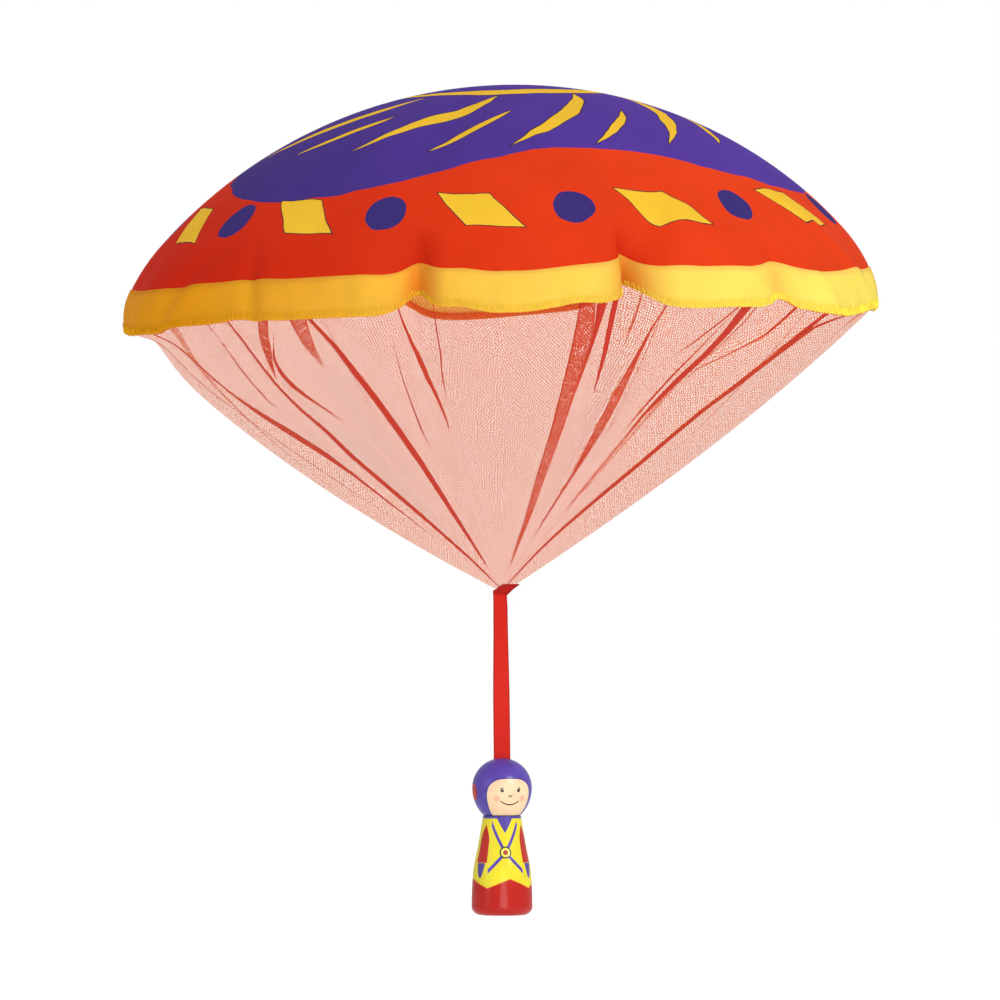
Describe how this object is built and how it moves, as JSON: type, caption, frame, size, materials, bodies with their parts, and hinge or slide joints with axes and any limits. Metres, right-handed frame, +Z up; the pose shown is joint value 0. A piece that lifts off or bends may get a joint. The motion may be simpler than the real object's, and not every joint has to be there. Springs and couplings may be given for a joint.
{
  "type": "toy parachute",
  "caption": "Toy parachute: round domed cloth canopy with a sewn rim band, a net cone gathered to a flat ribbon, and a turned wooden doll that swings and turns below.",
  "frame": {"origin": "the canopy's crown, on the outer face of the cloth, which the air or a hand holds up", "axes": "+Z up from the doll to the crown, -Y to the front that the doll faces, +X to the right as seen from the front"},
  "size_m": [0.4615, 0.4628, 0.498],
  "materials": {
    "printed_cloth": "thin woven polyester, printed",
    "band_cloth": "thin woven polyester with an overlocked edge",
    "seam_tape": "woven tape, overstitched",
    "net": "fine hexagonal net, see-through",
    "ribbon": "flat woven satin ribbon",
    "head_paint": "turned wood, gloss paint",
    "body_paint": "turned wood, gloss paint",
    "bare_wood": "bare turned wood"
  },
  "bodies": {
    "canopy": {"canopy_cloth": "printed_cloth", "rim_band": "band_cloth", "net_seam_tape": "seam_tape", "net_cone": "net"},
    "throat": {"net_neck": "net"},
    "gather": {"net_tail": "net", "ribbon_fold": "ribbon"},
    "ribbon": {"ribbon_upper": "ribbon"},
    "ribbon_foot": {"ribbon_lower": "ribbon"},
    "doll": {"ribbon_end": "ribbon", "doll_head": "head_paint", "neck_dowel": "bare_wood", "doll_body": "body_paint"}
  },
  "joints": [
    {"name": "throat_lift", "type": "slide", "parent": "canopy", "child": "throat", "axis": [0, 0, 1], "range_m": [0, 0.12], "deforming": ["net_cone"]},
    {"name": "ribbon_sway", "type": "hinge", "parent": "throat", "child": "gather", "pos_m": [0, 0, -0.30314], "axis": [0, 1, 0], "range_deg": [-30, 30]},
    {"name": "ribbon_swing", "type": "hinge", "parent": "gather", "child": "ribbon", "pos_m": [0, 0, -0.31229], "axis": [1, 0, 0], "range_deg": [-70, 70]},
    {"name": "ribbon_twist", "type": "hinge", "parent": "ribbon", "child": "ribbon_foot", "pos_m": [0, 0, -0.35784], "axis": [0, 0, 1], "range_deg": [-180, 180]},
    {"name": "doll_tip", "type": "hinge", "parent": "ribbon_foot", "child": "doll", "pos_m": [0, 0, -0.40339], "axis": [1, 0, 0], "range_deg": [-75, 75]}
  ]
}
